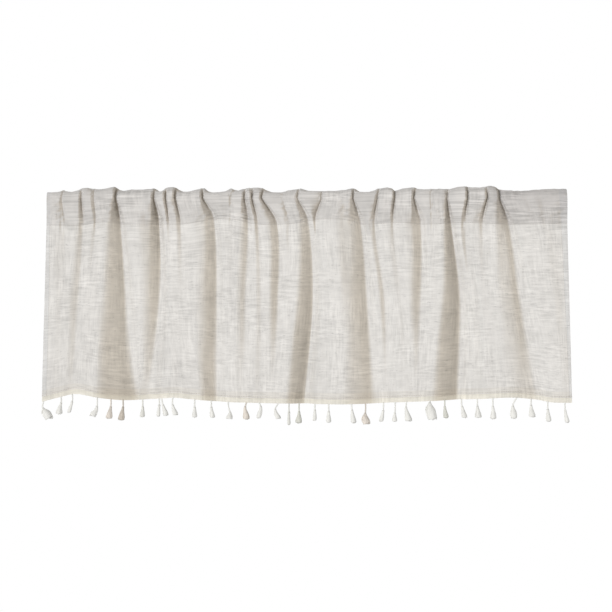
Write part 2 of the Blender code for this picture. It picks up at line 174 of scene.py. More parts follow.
drops = (0.0, cloth["stitchDrop"], cloth["middleDrop"], cloth["hemDrop"])

# uneven cloth: the noise's scale across and down, its slant, where it is read, and its height, mm
# on the rod, down is the angle
waves = {
    "slow": (14, 3.2, 0, 4.1, 1.6),
    "fine": (46, 9, 0, 9.3, 0.55),
    "pinch": (190, 30, 0, 2.7, 0.8),
    "topBroad": (90, 2, 0, 1.3, 1.1),
    "topFine": (240, 5, 0, 6.1, 0.8),
    "lean": (30, 0, 0, 5.5, 1),  # a share, not a height
    "upright": (75, 22, 0, 7.7, 1.4),
    "slanting": (110, 120, 90, 3.9, 1.4),
}


def wave(kind, x, down):
    scaleAcross, scaleDown, slant, place, height = waves[kind]
    return noise.noise(Vector((x * scaleAcross + down * slant, down * scaleDown, place))) * height


def clamped(value):
    return min(max(value, 0.0), 1.0)


def eased(t):
    return t * t * (3 - 2 * t)


def mix(a, b, t):
    return a + (b - a) * t


# a smooth curve through values at given places
def readSmoothly(places, values, at):
    last = len(places) - 1
    i = 0
    while i < last - 1 and at > places[i + 1]:
        i += 1
    span = places[i + 1] - places[i]
    t = clamped((at - places[i]) / span)
    slopes = []
    for k in (i, i + 1):
        a, b = max(k - 1, 0), min(k + 1, last)
        slopes.append((values[b] - values[a]) / (places[b] - places[a]))
    start = values[i] * (1 + 2 * t) * (1 - t) ** 2 + slopes[0] * span * t * (1 - t) ** 2
    end = values[i + 1] * (3 - 2 * t) * t * t - slopes[1] * span * (1 - t) * t * t
    return start + end


# one of the tables above, at a place across the width, in metres
def readTable(table, across):
    return readSmoothly([place for place, _ in table], [value * mm for _, value in table], across)


def belowStitching(drop):
    return clamped((drop - cloth["stitchDrop"]) / (cloth["hemDrop"] - cloth["stitchDrop"]))


def widthAt(drop):
    return mix(cloth["widthOnRod"], cloth["widthAtHem"], clamped(drop / cloth["hemDrop"]))


def frontAt(drop):
    levels = [cloth["frontAtStitch"]] * 2 + [cloth["frontAtMiddle"], cloth["frontAtHem"]]
    return readSmoothly(drops, levels, drop)


def foldWidth(drop, onRod, atStitch, atHem):
    if drop < cloth["stitchDrop"]:
        return mix(onRod, atStitch, drop / cloth["stitchDrop"])
    return mix(atStitch, atHem, belowStitching(drop))


# how far a panel bulges to the front between two folds
def swellOf(room):
    return cloth["bulge"] * min(room / cloth["fullBulge"], 1.0) ** 2


# the folds' corners along one height, from the left edge to the right: x, depth behind the front,
# rise over the rod; each gather has five, half way to it, its flank's start and middle, its crease
# and the end of its return
def cornersAt(drop):
    width = widthAt(drop)
    creases = [(readSmoothly(drops, places, drop) - 0.5) * width for places, *_ in gathers]
    bounds = [-width / 2, *creases, width / 2]
    corners = [(-width / 2, 0.0, gathers[0][2][0] * mm)]
    held = 0.0
    for i, (_, depths, rises, widths) in enumerate(gathers):
        crease = creases[i]
        depth = readSmoothly(drops, depths, drop) * mm
        flank = foldWidth(drop, cloth["ridgeOnRod"], widths[0] * mm, widths[1] * mm)
        back = foldWidth(drop, cloth["returnOnRod"], widths[2] * mm, widths[3] * mm)
        flank = min(flank, cloth["mostFlank"] * (crease - bounds[i]))
        back = min(back, cloth["mostReturn"] * (bounds[i + 2] - crease))
        left, right = rises[0] * mm, rises[1] * mm
        before = corners[-1]
        room = crease - flank - before[0]
        corners.append((before[0] + room / 2, held - swellOf(room), mix(before[2], left, 0.5)))
        corners.append((crease - flank, held, left))
        midway = mix(held, depth, cloth["flankDepth"])
        corners.append((crease - flank / 2, midway, left * cloth["flankRise"]))
        corners.append((crease, depth, max(min(left, right) - depths[0] * mm, cloth["creaseOnRod"])))
        held = readSmoothly(drops, staysBack.get(i + 1, (0, 0, 0, 0)), drop) * mm
        corners.append((crease + back, held, right))
    before = corners[-1]
    room = width / 2 - before[0]
    corners.append((before[0] + room / 2, -swellOf(room), before[2]))
    corners.append((width / 2, 0.0, before[2]))
    return corners


# how many fine columns lie between two corners: set numbers on a fold, by length between folds
def countSteps():
    sample = [cornersAt(drop) for drop in (0.0, cloth["middleDrop"], cloth["hemDrop"])]
    onFold = [None, None, cloth["flankSteps"], cloth["flankSteps"], cloth["foldSteps"]]
    runs = onFold * len(gathers) + [None, None]
    steps = []
    for i, onRun in enumerate(runs):
        length = sum(row[i + 1][0] - row[i][0] for row in sample) / len(sample)
        steps.append(onRun or max(1, round(length / cloth["flatStep"])))
    return steps


steps = countSteps()


def fineSection(drop):
    corners = cornersAt(drop)
    fine = []
    for i, count in enumerate(steps):
        a, b = corners[i], corners[i + 1]
        for k in range(count):
            t = k / count
            depth = mix(a[1], b[1], mix(t, eased(t), cloth["rounding"]))
            fine.append([mix(a[0], b[0], t), depth, mix(a[2], b[2], eased(t))])
    fine.append(list(corners[-1]))
    return softened(fine, readSmoothly(drops, cloth["softness"], drop))


# the section with its depths blurred over a distance, as cloth rounds off its folds
def softened(fine, reach):
    section = np.array(fine)
    x = section[:, 0]
    weights = np.exp(-0.5 * ((x[:, None] - x[None, :]) / reach) ** 2) * np.gradient(x)
    weights /= weights.sum(axis=1, keepdims=True)
    section[:, 1:] = weights @ section[:, 1:]
    return section.tolist()


def hemLift(across, drop):
    share = (belowStitching(drop) - cloth["liftStarts"]) / (1 - cloth["liftStarts"])
    return readTable(hemLifts, across) * max(share, 0.0)


# the stitching's pull, full at the seam and gone on the rod and in the body
def seamLift(across, drop):
    full = readTable(seamLifts, across)
    if drop < cloth["stitchDrop"]:
        return full * drop / cloth["stitchDrop"]
    return full * max(1 - (drop - cloth["stitchDrop"]) / cloth["seamFades"], 0.0)


# soft unevenness of hung linen: long shallow waves, and pinched cloth beside the stitching
def wrinkle(x, drop):
    below = drop - cloth["stitchDrop"]
    near = math.exp(-((below / cloth["pinchReach"]) ** 2))
    pinch = wave("pinch", x, drop) * mm * near
    ridge = cloth["seamRidge"] * math.exp(-((below / cloth["ridgeReach"]) ** 2))
    return wave("slow", x, drop) * mm + wave("fine", x, drop) * mm + pinch + ridge


def bodyRow(drop):
    front = frontAt(drop)
    width = widthAt(drop)
    row = []
    for x, deep, _ in fineSection(drop):
        across = x / width + 0.5
        lift = hemLift(across, drop) + seamLift(across, drop)
        row.append(Vector((x, deep - front + wrinkle(x, drop), lift - drop)))
    return row


# the cloth along the rod at an angle: 0 in front, and round over the top to the back
def rodRing(angle):
    row = []
    width = widthAt(0.0)
    for x, _, rise in fineSection(0.0):
        if angle > math.pi / 2:
            rise = min(rise, cloth["backRise"])
        top = readTable(topRises, x / width + 0.5)
        rise = mix(rise, top, math.sin(angle) ** cloth["topEdge"])
        rise += wave("topBroad", x, angle) * mm
        rise += wave("topFine", x, angle) * mm
        radius = cloth["channelRadius"] + cloth["thickness"] / 2 + max(rise, 0.0)
        inside = min(1.0, (width / 2 - abs(x)) / cloth["leanFull"])
        lean = (cloth["leanRight"] + wave("lean", x, 0.0)) * inside * cloth["lean"]
        sideways = lean * math.sin(angle) ** 2
        row.append(Vector((x + sideways, -radius * math.cos(angle), radius * math.sin(angle))))
    return row


# the pocket's small crumples: upright ones, and finer slanting ones
def crumple(x, drop):
    return wave("upright", x, drop) * mm + wave("slanting", x, drop) * mm


# rows from one row to another; pinched tells how far the gathers' creases sink between them
def rowsBetween(start, end, dropStart, dropEnd, count, pinched=0.0):
    rows = []
    for k in range(1, count):
        share = k / count
        drop = mix(dropStart, dropEnd, share)
        between = math.sin(math.pi * share)
        row = []
        for a, b, (x, deep, _) in zip(start, end, fineSection(drop)):
            y = mix(a.y, b.y, share) + pinched * between * deep + crumple(x, drop) * between**0.5
            row.append(Vector((x, y, mix(a.z, b.z, share))))
        rows.append(row)
    return rows


# a row of points moved back square to its run in plan
def movedBack(row, distance):
    moved = []
    last = len(row) - 1
    for i, point in enumerate(row):
        run = row[min(i + 1, last)] - row[max(i - 1, 0)]
        moved.append(point + Vector((-run.y, run.x, 0)).normalized() * distance)
    return moved


# all rows of the cloth: up the body, up the pocket's front, over the rod and down its back
def clothRows():
    stitch, hem = cloth["stitchDrop"], cloth["hemDrop"]
    count = cloth["bodyRows"]
    body = [bodyRow(mix(hem, stitch, k / count)) for k in range(count + 1)]
    sewn = body[-1]
    arc = [rodRing(math.pi * k / cloth["arcRows"]) for k in range(cloth["arcRows"] + 1)]
    front = rowsBetween(sewn, arc[0], stitch, 0.0, cloth["pocketRows"], cloth["pinched"])
    layer = cloth["nextLayer"] * cloth["thickness"]
    foot = movedBack(sewn, layer)
    lip = movedBack(bodyRow(stitch + cloth["lip"]), layer)
    back = rowsBetween(arc[-1], foot, 0.0, stitch, cloth["backRows"])
    return body + front + arc + back + [foot, lip]


rows = clothRows()
print("cloth rows", len(rows), "columns", len(rows[0]))

# slopes at which each part of the painted shade on the folds starts, and over which it grows
shade = {
    "steep": (0.02, 0.32),
    "deep": (0.35, 0.6),
    "tight": (0.8, 0.9),
    "lit": (0.04, 0.4),
    "deepShare": 0.34,
    "eased": 0.4,
    "steeperSide": 0.3,  # how much the steeper of a point's two sides counts
    "shortest": 0.0004,
}


# how far in a point lies: behind the front, or under the cloth's top on the rod
def depthAt(point, behindRod):
    if point.z > 0:
        return -math.hypot(point.y, point.z)
    return -point.y if behindRod else point.y


def grownWith(slope, kind):
    start, span = shade[kind]
    return clamped((slope - start) / span)


# painted shade, laid into the cloth's colour: how far each point lies in a fold's shade, 0 to 1 on the
# flanks, more where they are steep and in the pocket's creases, and below 0 on the sides that face the
# lamp, which a painted darkening holds to the front's tone
def foldShades():
    shades = []
    for r, row in enumerate(rows):
        behindRod = r > cloth["bodyRows"] + cloth["pocketRows"] + cloth["arcRows"] / 2
        pocket = clamped((r - cloth["bodyRows"]) / cloth["pocketRows"])
        depths = [depthAt(point, behindRod) for point in row]
        slopes = []
        for a, b, depthA, depthB in zip(row, row[1:], depths, depths[1:]):
            slopes.append((depthB - depthA) / max(b.x - a.x, shade["shortest"]))
        level = []
        for before, after in zip([slopes[0], *slopes], [*slopes, slopes[-1]]):
            slope = mix(min(before, after), max(before, after), shade["steeperSide"])
            steep = grownWith(slope, "steep")
            flank = mix(steep, eased(steep), shade["eased"])
            inBody = shade["deepShare"] * grownWith(slope, "deep")
            crease = mix(inBody, grownWith(slope, "tight"), pocket**0.5)
            level.append(flank + crease - grownWith(-slope, "lit"))
        shades.append(level)
    return shades


# places of the rows and columns on the flat cloth, in metres
def flatPlaces():
    down = [0.0]
    for a, b in zip(rows, rows[1:]):
        down.append(down[-1] + sum((q - p).length for p, q in zip(a, b)) / len(a))
    body = rows[: cloth["bodyRows"] + 1 : cloth["measuredRows"]]
    across = [0.0]
    for c in range(1, len(rows[0])):
        across.append(across[-1] + sum((row[c] - row[c - 1]).length for row in body) / len(body))
    return across, down


shades = foldShades()
flatAcross, flatDown = flatPlaces()
wide = flatAcross[-1]
print("flat width as modelled", round(wide, 3), "length", round(flatDown[-1], 3))


def addPiece(name, mesh, material):
    mesh.materials.append(material)
    mesh.shade_smooth()
    piece = bpy.data.objects.new(name, mesh)
    scene.collection.objects.link(piece)
    return piece


# a flat grid, each of its corners moved to its row and column
def sheetFrom(name, points, across, down, thickness, material, folds=None):
    mesh = bpy.data.meshes.new(name)
    sheet = bmesh.new()
    lastRow, lastColumn = len(points) - 1, len(points[0]) - 1
    bmesh.ops.create_grid(sheet, x_segments=lastColumn, y_segments=lastRow, size=1.0)

    def placeOf(vert):
        return round((vert.co.y + 1) / 2 * lastRow), round((vert.co.x + 1) / 2 * lastColumn)

    uv = sheet.loops.layers.uv.new("flatCloth")
    for face in sheet.faces:
        for loop in face.loops:
            row, column = placeOf(loop.vert)
            loop[uv].uv = (across[column], down[row])
    # folds: the painted fold shade of each corner, kept as the attribute fold for the colour
    fold = sheet.verts.layers.float.new("fold") if folds else None
    for vert in sheet.verts:
        row, column = placeOf(vert)
        vert.co = points[row][column]
        if folds:
            vert[fold] = folds[row][column]
    sheet.to_mesh(mesh)
    sheet.free()
    piece = addPiece(name, mesh, material)
    solidify = piece.modifiers.new("thickness", "SOLIDIFY")
    solidify.thickness = thickness
    solidify.offset = 0.0
    piece.modifiers.new("evenShading", "WEIGHTED_NORMAL")
    return piece


def newMaterial(name, roughness, sheen=0.0, specular=0.25):
    material = bpy.data.materials.new(name)
    material.use_nodes = True
    shader = material.node_tree.nodes["Principled BSDF"]
    shader.inputs["Roughness"].default_value = roughness
    shader.inputs["Specular IOR Level"].default_value = specular
    shader.inputs["Sheen Weight"].default_value = sheen
    return material, material.node_tree, shader


def addNode(tree, kind, **values):
    node = tree.nodes.new(kind)
    for name, value in values.items():
        setattr(node, name, value)
    return node


# a sum, product and so on of two values, each a number or another node's output
def joined(tree, operation, a, b=None):
    node = addNode(tree, "ShaderNodeMath", operation=operation)
    for slot, value in enumerate((a, b)):
        if value is None:
            continue
        if hasattr(value, "is_output"):
            tree.links.new(value, node.inputs[slot])
        else:
            node.inputs[slot].default_value = value
    return node.outputs[0]


def weighted(tree, a, shareA, b, shareB):
    return joined(tree, "ADD", joined(tree, "MULTIPLY", a, shareA), joined(tree, "MULTIPLY", b, shareB))


def ranged(tree, value, low, high, toLow=0.0, toHigh=1.0, smooth=True):
    node = addNode(tree, "ShaderNodeMapRange")
    node.interpolation_type = "SMOOTHSTEP" if smooth else "LINEAR"
    tree.links.new(value, node.inputs["Value"])
    for name, number in (("From Min", low), ("From Max", high), ("To Min", toLow), ("To Max", toHigh)):
        node.inputs[name].default_value = number
    return node.outputs[0]


def noiseAt(tree, vector, scaleX, scaleY, detail, roughness, offset):
    mapping = addNode(tree, "ShaderNodeMapping")
    mapping.inputs["Scale"].default_value = (scaleX, scaleY, 1)
    mapping.inputs["Location"].default_value = (offset, offset * 0.7, offset)
    tree.links.new(vector, mapping.inputs["Vector"])
    texture = addNode(tree, "ShaderNodeTexNoise")
    texture.inputs["Scale"].default_value = 1.0
    texture.inputs["Detail"].default_value = detail
    texture.inputs["Roughness"].default_value = roughness
    tree.links.new(mapping.outputs[0], texture.inputs["Vector"])
    return texture.outputs[0]


# a colour scaled by a value
def scaledColour(tree, colour, value):
    scale = addNode(tree, "ShaderNodeVectorMath", operation="SCALE")
    scale.inputs[0].default_value = colour
    tree.links.new(value, scale.inputs["Scale"])
    return scale.outputs[0]


# a colour times a tint, which a value brings in as it goes from 0 to 1
def tinted(tree, colour, value, tint):
    blend = addNode(tree, "ShaderNodeMix", data_type="RGBA")
    tree.links.new(value, blend.inputs["Factor"])
    blend.inputs[6].default_value = (1, 1, 1, 1)
    blend.inputs[7].default_value = (*tint, 1)
    product = addNode(tree, "ShaderNodeVectorMath", operation="MULTIPLY")
    tree.links.new(colour, product.inputs[0])
    tree.links.new(blend.outputs[2], product.inputs[1])
    return product.outputs[0]


def addBump(tree, shader, height, strength, distance):
    bump = addNode(tree, "ShaderNodeBump")
    bump.inputs["Strength"].default_value = strength
    bump.inputs["Distance"].default_value = distance
    tree.links.new(height, bump.inputs["Height"])
    tree.links.new(bump.outputs[0], shader.inputs["Normal"])


# the weave's noises: scale across and down, detail, roughness, and where each is read
weaveNoises = {
    "weftLong": (34, 250, 2.0, 0.55, 3.1),
    "weftShort": (75, 700, 2.0, 0.5, 8.4),
    "warpLong": (250, 22, 2.0, 0.55, 5.7),
    "warpShort": (820, 45, 1.0, 0.5, 2.2),
    "dense": (17, 23, 1.0, 0.5, 4.4),
    "loose": (19, 13, 1.0, 0.5, 7.9),
    "speck": (130, 420, 1.0, 0.5, 6.6),
    "cloud": (10, 12, 2.0, 0.5, 1.9),
    "patches": (70, 55, 2.0, 0.5, 3.3),
}

# the part of each noise that is used, and the values it is turned into
weaveRanges = {
    "slubs": (0.38, 0.62, -1.0, 1.0),
    "dense": (0.35, 0.65, 0.45, 1.5),
    "loose": (0.35, 0.65, 0.4, 1.6),
    "speck": (0.66, 0.76),
    "cloud": (0.3, 0.7, -0.035, 0.035),
    "patches": (0.3, 0.7, -0.04, 0.04),
}

weaveShares = {
    "weft": (0.65, 0.35),  # of the long slubs and the short ones
    "warp": (0.6, 0.4),
    "height": (0.25, 0.5, 0.3),  # of the weave, the weft and the warp
    "tone": 0.02,
}


# slubbed linen: thick weft slubs across, finer warp slubs down, specks, and the weave itself
def makeLinenGroup():
    tree = bpy.data.node_groups.new("slubbedWeave", "ShaderNodeTree")
    face = tree.interface
    face.new_socket("Vector", in_out="INPUT", socket_type="NodeSocketVector")
    for name in ("Thread", "Weft", "Warp", "Specks"):
        face.new_socket(name, in_out="INPUT", socket_type="NodeSocketFloat")
    for name in ("Tone", "Height"):
        face.new_socket(name, in_out="OUTPUT", socket_type="NodeSocketFloat")
    start = addNode(tree, "NodeGroupInput")
    end = addNode(tree, "NodeGroupOutput")
    vector = start.outputs["Vector"]
    noises = {name: noiseAt(tree, vector, *values) for name, values in weaveNoises.items()}
    used = [name for name in weaveRanges if name in noises]
    spread = {name: ranged(tree, noises[name], *weaveRanges[name]) for name in used}
    slubs = []
    for kind, thickness in (("weft", "dense"), ("warp", "loose")):
        shareLong, shareShort = weaveShares[kind]
        slub = weighted(tree, noises[kind + "Long"], shareLong, noises[kind + "Short"], shareShort)
        slub = ranged(tree, slub, *weaveRanges["slubs"], smooth=False)
        slubs.append(joined(tree, "MULTIPLY", slub, spread[thickness]))
    weft, warp = slubs
    tone = weighted(tree, weft, start.outputs["Weft"], warp, start.outputs["Warp"])
    specks = joined(tree, "MULTIPLY", spread["speck"], start.outputs["Specks"])
    tone = joined(tree, "SUBTRACT", tone, specks)
    tone = joined(tree, "ADD", tone, spread["cloud"])
    tone = joined(tree, "ADD", tone, spread["patches"])
    split = addNode(tree, "ShaderNodeSeparateXYZ")
    tree.links.new(vector, split.inputs[0])
    sines = []
    for axis in (0, 1):
        turns = joined(tree, "DIVIDE", split.outputs[axis], start.outputs["Thread"])
        sines.append(joined(tree, "SINE", joined(tree, "MULTIPLY", turns, math.pi)))
    weave = joined(tree, "MULTIPLY", *sines)
    weaveShare, weftShare, warpShare = weaveShares["height"]
    height = weighted(tree, weave, weaveShare, weft, weftShare)
    height = joined(tree, "ADD", height, joined(tree, "MULTIPLY", warp, warpShare))
    tone = joined(tree, "ADD", tone, joined(tree, "MULTIPLY", weave, weaveShares["tone"]))
    tree.links.new(tone, end.inputs["Tone"])
    tree.links.new(height, end.inputs["Height"])
    return tree


linenGroup = makeLinenGroup()


# the weave on the flat cloth's places, with its settings from a dictionary
def addWeave(tree, settings):
    place = addNode(tree, "ShaderNodeUVMap", uv_map="flatCloth")
    weave = addNode(tree, "ShaderNodeGroup", node_tree=linenGroup)
    tree.links.new(place.outputs[0], weave.inputs["Vector"])
    for name in ("thread", "weft", "warp", "specks"):
        weave.inputs[name.capitalize()].default_value = settings[name]
    return place, weave


linen = {
    "colour": (0.740, 0.716, 0.682),
    # painted shade in the folds, darker still in the pocket's creases, and a slight darkening on the sides
    # that face the lamp
    "paintedFoldShade": (0.815, 0.768, 0.698),
    "paintedCreaseShade": (0.46, 0.43, 0.38),
    "paintedShadeOnLitSides": (0.93, 0.935, 0.94),
    # painted shade on the header, where the doubled cloth lets less light through
    "paintedHeaderShade": (0.74, 0.73, 0.735),
    "headerInFolds": (0.50, 0.50),  # shares of that painted shade at the stitching and on the rod
    "headerAtRight": (0.70, 0.98),
    "rightPart": (0.20, 0.13),  # from the right edge, where the second pair starts and holds in full
    "headerEdge": (0.002, 0.001),  # over this much of the cloth the header's painted shade starts
    "edgeTint": (0.94, 0.955, 0.975),
    "hemTint": (0.97, 0.96, 0.94),
    "edgeBlur": 0.001,
    "hemBlur": 0.0005,
    "thread": 0.0009,
    "weft": 0.075,
    "headerWeft": 0.14,
    "warp": 0.055,
    "specks": 0.15,
    "sideHem": 0.009,
    "bump": (0.6, 0.00035),  # strength and distance
    "roughness": 0.92,
    "sheen": 0.12,
}


def makeLinen(name):
    material, tree, shader = newMaterial(name, linen["roughness"], linen["sheen"])
    place, weave = addWeave(tree, linen)
    split = addNode(tree, "ShaderNodeSeparateXYZ")
    tree.links.new(place.outputs[0], split.inputs[0])
    across, down = split.outputs[0], split.outputs[1]
    sewnAt = flatDown[cloth["bodyRows"]]
    before, after = linen["headerEdge"]
    header = ranged(tree, down, sewnAt - before, sewnAt + after)
    headerWeft = ranged(tree, header, 0.0, 1.0, linen["weft"], linen["headerWeft"], smooth=False)
    tree.links.new(headerWeft, weave.inputs["Weft"])
    farSide = wide - linen["sideHem"]
    sideLeft = ranged(tree, across, linen["sideHem"], linen["sideHem"] - linen["edgeBlur"])
    sideRight = ranged(tree, across, farSide, farSide + linen["edgeBlur"])
    hem = ranged(tree, down, cloth["hemTurn"] + linen["hemBlur"], cloth["hemTurn"] - linen["hemBlur"])
    onRod = sewnAt + cloth["stitchDrop"]
    # the header's painted shade: half across the header, more near the right edge
    inFolds = ranged(tree, down, sewnAt, onRod, *linen["headerInFolds"])
    atRight = ranged(tree, down, sewnAt, onRod, *linen["headerAtRight"])
    starts, full = linen["rightPart"]
    rightPart = ranged(tree, across, wide - starts, wide - full)
    headerShadeShare = joined(tree, "MAXIMUM", inFolds, joined(tree, "MULTIPLY", atRight, rightPart))
    # the painted fold shade, laid into the colour: flanks, the pocket's creases and the sides that face the
    # lamp
    fold = addNode(tree, "ShaderNodeAttribute", attribute_name="fold").outputs["Fac"]
    tints = {
        "paintedFoldShade": fold,
        "paintedCreaseShade": joined(tree, "SUBTRACT", fold, 1.0),
        "paintedShadeOnLitSides": joined(tree, "MULTIPLY", fold, -1.0),
        # painted shade on the doubled header
        "paintedHeaderShade": joined(tree, "MULTIPLY", header, headerShadeShare),
        "edgeTint": joined(tree, "MAXIMUM", sideLeft, sideRight),
        "hemTint": hem,
    }
    colour = scaledColour(tree, linen["colour"], joined(tree, "ADD", weave.outputs["Tone"], 1.0))
    for tint, value in tints.items():
        colour = tinted(tree, colour, value, linen[tint])
    tree.links.new(colour, shader.inputs["Base Color"])
    addBump(tree, shader, weave.outputs["Height"], *linen["bump"])
    return material


linenCloth = makeLinen("linenCloth")
clothPiece = sheetFrom("gatheredCloth", rows, flatAcross, flatDown, cloth["thickness"], linenCloth, shades)
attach(clothPiece, "root")
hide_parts("valance_panel")
print("cloth made")

# the cloth turned back at its sides and along the bottom, lying behind it
turned = {
    "sideWidth": 0.010,
    "bottomWidth": 0.012,
    "layer": 0.0007,  # from the middle of one layer of cloth to the middle of the next
    "columns": 4,
    "rows": 4,
    "inset": 0.0003,
}


# the point of a row at a distance across the flat cloth
def pointAcross(row, across):
    for c in range(len(row) - 1):
        if flatAcross[c] <= across <= flatAcross[c + 1]:
            return row[c].lerp(row[c + 1], (across - flatAcross[c]) / (flatAcross[c + 1] - flatAcross[c]))
    return row[-1].copy()


def makeSideHem(name, start, end):
    firstRow = 1 + int(turned["bottomWidth"] / (flatDown[1] - flatDown[0]))
    across = [mix(start, end, k / (turned["columns"] - 1)) for k in range(turned["columns"])]
    behind = [movedBack(row, turned["layer"]) for row in rows[firstRow : cloth["bodyRows"]]]
    points = [[pointAcross(row, place) for place in across] for row in behind]
    down = flatDown[firstRow : cloth["bodyRows"]]
    return sheetFrom(name, points, across, down, cloth["thickness"], linenCloth)


def makeBottomHem():
    count = turned["rows"]
    down = [turned["inset"] + turned["bottomWidth"] * k / (count - 1) for k in range(count)]
    points = [movedBack(bodyRow(cloth["hemDrop"] - height), turned["layer"]) for height in down]
    # the painted fold shade of the cloth's bottom row, on every row of the hem
    folds = [shades[0]] * count
    return sheetFrom("bottomHem", points, flatAcross, down, cloth["thickness"], linenCloth, folds)


hemPieces = [
    makeSideHem("leftHem", turned["inset"], turned["sideWidth"]),
    makeSideHem("rightHem", wide - turned["sideWidth"], wide - turned["inset"]),
    makeBottomHem(),
]
for piece in hemPieces:
    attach(piece, "root")
print("hems made")

# cream tape behind the hem
tape = {
    "behind": 0.005,
    "below": 0.0095,
    "gap": 0.0009,  # room for the turned hem between cloth and tape
    "thickness": 0.0006,
    "rows": 5,
    "colour": (0.80, 0.765, 0.68),
    # painted shade in the folds, weaker than on the cloth
    "paintedFoldShade": (0.88, 0.84, 0.79),
    "thread": 0.0011,
    "weft": 0.04,
    "warp": 0.06,
    "specks": 0.0,
    "bump": (0.8, 0.0004),
    "roughness": 0.9,
    "sheen": 0.1,
}
tapeBehind = (cloth["thickness"] + tape["thickness"]) / 2 + tape["gap"]


# from its lower edge up, each row with its height on the flat tape
def tapeRows():
    middle = movedBack(rows[0], tapeBehind)
    points, down = [], []
    for k in range(tape["rows"]):
        share = k / (tape["rows"] - 1)
        points.append([Vector((p.x, p.y, p.z - tape["below"] * (1 - share))) for p in middle])
        down.append(k * tape["below"] / (tape["rows"] - 1))
    points.append(movedBack(bodyRow(cloth["hemDrop"] - tape["behind"]), tapeBehind))
    down.append(tape["below"] + tape["behind"])
    return points, down


def makeTapeMaterial():
    material, tree, shader = newMaterial("creamTape", tape["roughness"], tape["sheen"])
    _, weave = addWeave(tree, tape)
    # the cloth's painted fold shade carried onto the tape
    fold = addNode(tree, "ShaderNodeAttribute", attribute_name="fold").outputs["Fac"]
    colour = scaledColour(tree, tape["colour"], joined(tree, "ADD", weave.outputs["Tone"], 1.0))
    tree.links.new(tinted(tree, colour, fold, tape["paintedFoldShade"]), shader.inputs["Base Color"])
    addBump(tree, shader, weave.outputs["Height"], *tape["bump"])
    return material


tapeGrid, tapeDown = tapeRows()
# the painted fold shade of the cloth's bottom row, on every row of the tape
tapeFoldShades = [shades[0]] * len(tapeGrid)
creamTape = makeTapeMaterial()
tapePiece = sheetFrom("hemTape", tapeGrid, flatAcross, tapeDown, tape["thickness"], creamTape, tapeFoldShades)
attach(tapePiece, "root")
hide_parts("trim_tape")
print("tape made")

# yarn and sewing thread
fibre = {
    "fine": (900, 900, 2.0, 0.5, 2.0),
    "strand": (620, 500, 1.0, 0.5, 6.0),
    "fineRange": (0.3, 0.7, 0.95, 1.03),
    "strandRange": (0.35, 0.6),
    "bump": (0.5, 0.0002),
    "roughness": 0.95,
    "sheen": 0.2,
}


def makeYarnMaterial(name, colour, streaks):
    material, tree, shader = newMaterial(name, fibre["roughness"], fibre["sheen"])
    place = addNode(tree, "ShaderNodeTexCoord").outputs["Object"]
    fine = noiseAt(tree, place, *fibre["fine"])
    strand = noiseAt(tree, place, *fibre["strand"])
    streaky = ranged(tree, strand, *fibre["strandRange"], -streaks, streaks / 2)
    tone = joined(tree, "ADD", ranged(tree, fine, *fibre["fineRange"]), streaky)
    tree.links.new(scaledColour(tree, colour, tone), shader.inputs["Base Color"])
    addBump(tree, shader, fine, *fibre["bump"])
    return material


# the sewing: each stitch a short thread lying on the cloth
thread = {
    "spacing": 0.0034,
    "length": 0.0023,
    "radius": 0.0003,
    "shares": (-1, -0.6, 0.6, 1),  # along half a stitch, and its thickness there
    "thinner": (0.3, 1.0, 1.0, 0.3),
    "aboveHem": 0.0028,
    "insideEdge": 0.0085,
    "colour": (0.50, 0.465, 0.42),
    "tapeColour": (0.42, 0.36, 0.29),
    "streaks": 0.04,
}


# places along a path every so far, each with the path's direction there
def evenPlaces(path):
    places = []
    ahead = thread["spacing"] / 2
    for a, b in zip(path, path[1:]):
        length = (b - a).length
        while ahead < length:
            places.append((a.lerp(b, ahead / length), (b - a).normalized()))
            ahead += thread["spacing"]
        ahead -= length
    return places


# a mesh of round threads, each a line of points with the thread's thickness at each as a share
def curveMesh(name, lines, radius, resolution):
    curve = bpy.data.curves.new(name, "CURVE")
    curve.dimensions = "3D"
    curve.bevel_depth = radius
    curve.bevel_resolution = resolution
    curve.use_fill_caps = True
    for points, radii in lines:
        spline = curve.splines.new("POLY")
        spline.points.add(len(points) - 1)
        for i, point in enumerate(points):
            spline.points[i].co = (*point, 1)
            spline.points[i].radius = radii[i] if radii else 1.0
    holder = bpy.data.objects.new(name, curve)
    scene.collection.objects.link(holder)
    evaluated = holder.evaluated_get(bpy.context.evaluated_depsgraph_get())
    mesh = bpy.data.meshes.new_from_object(evaluated)
    bpy.data.objects.remove(holder)
    bpy.data.curves.remove(curve)
    return mesh


# a stitch: a short thread, thinner where it dips into the cloth
def stitchLine(place, direction):
    along = direction * thread["length"] / 2
    return [place + along * share for share in thread["shares"]], thread["thinner"]


def makeSeam(name, paths, colour):
    lines = [stitchLine(place, direction) for path in paths for place, direction in evenPlaces(path)]
    mesh = curveMesh(name, lines, thread["radius"], 1)
    piece = addPiece(name, mesh, makeYarnMaterial(name, colour, thread["streaks"]))
    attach(piece, "root")
    return piece


def columnPath(across, distance):
    behind = [movedBack(row, distance) for row in rows[: cloth["bodyRows"] + 1]]
    return [pointAcross(row, across) for row in behind]


def makeSeams():
    front = -cloth["thickness"] / 2
    pocketBack = cloth["nextLayer"] * cloth["thickness"] + cloth["thickness"] / 2
    tapeBack = tapeBehind + tape["thickness"] / 2
    hemBack = turned["layer"] + cloth["thickness"] / 2
    sewn = rows[cloth["bodyRows"]]
    aboveHem = bodyRow(cloth["hemDrop"] - thread["aboveHem"])
    inside = thread["insideEdge"]
    pocket = [movedBack(sewn, distance) for distance in (front, pocketBack)]
    alongTape = [movedBack(aboveHem, distance) for distance in (front, tapeBack)]
    sides = [columnPath(across, side) for across in (inside, wide - inside) for side in (front, hemBack)]
    return [
        makeSeam("pocketSeam", pocket, thread["colour"]),
        makeSeam("tapeSeam", alongTape, thread["tapeColour"]),
        makeSeam("sideSeams", sides, thread["colour"]),
    ]


seamPieces = makeSeams()
print("seams made")

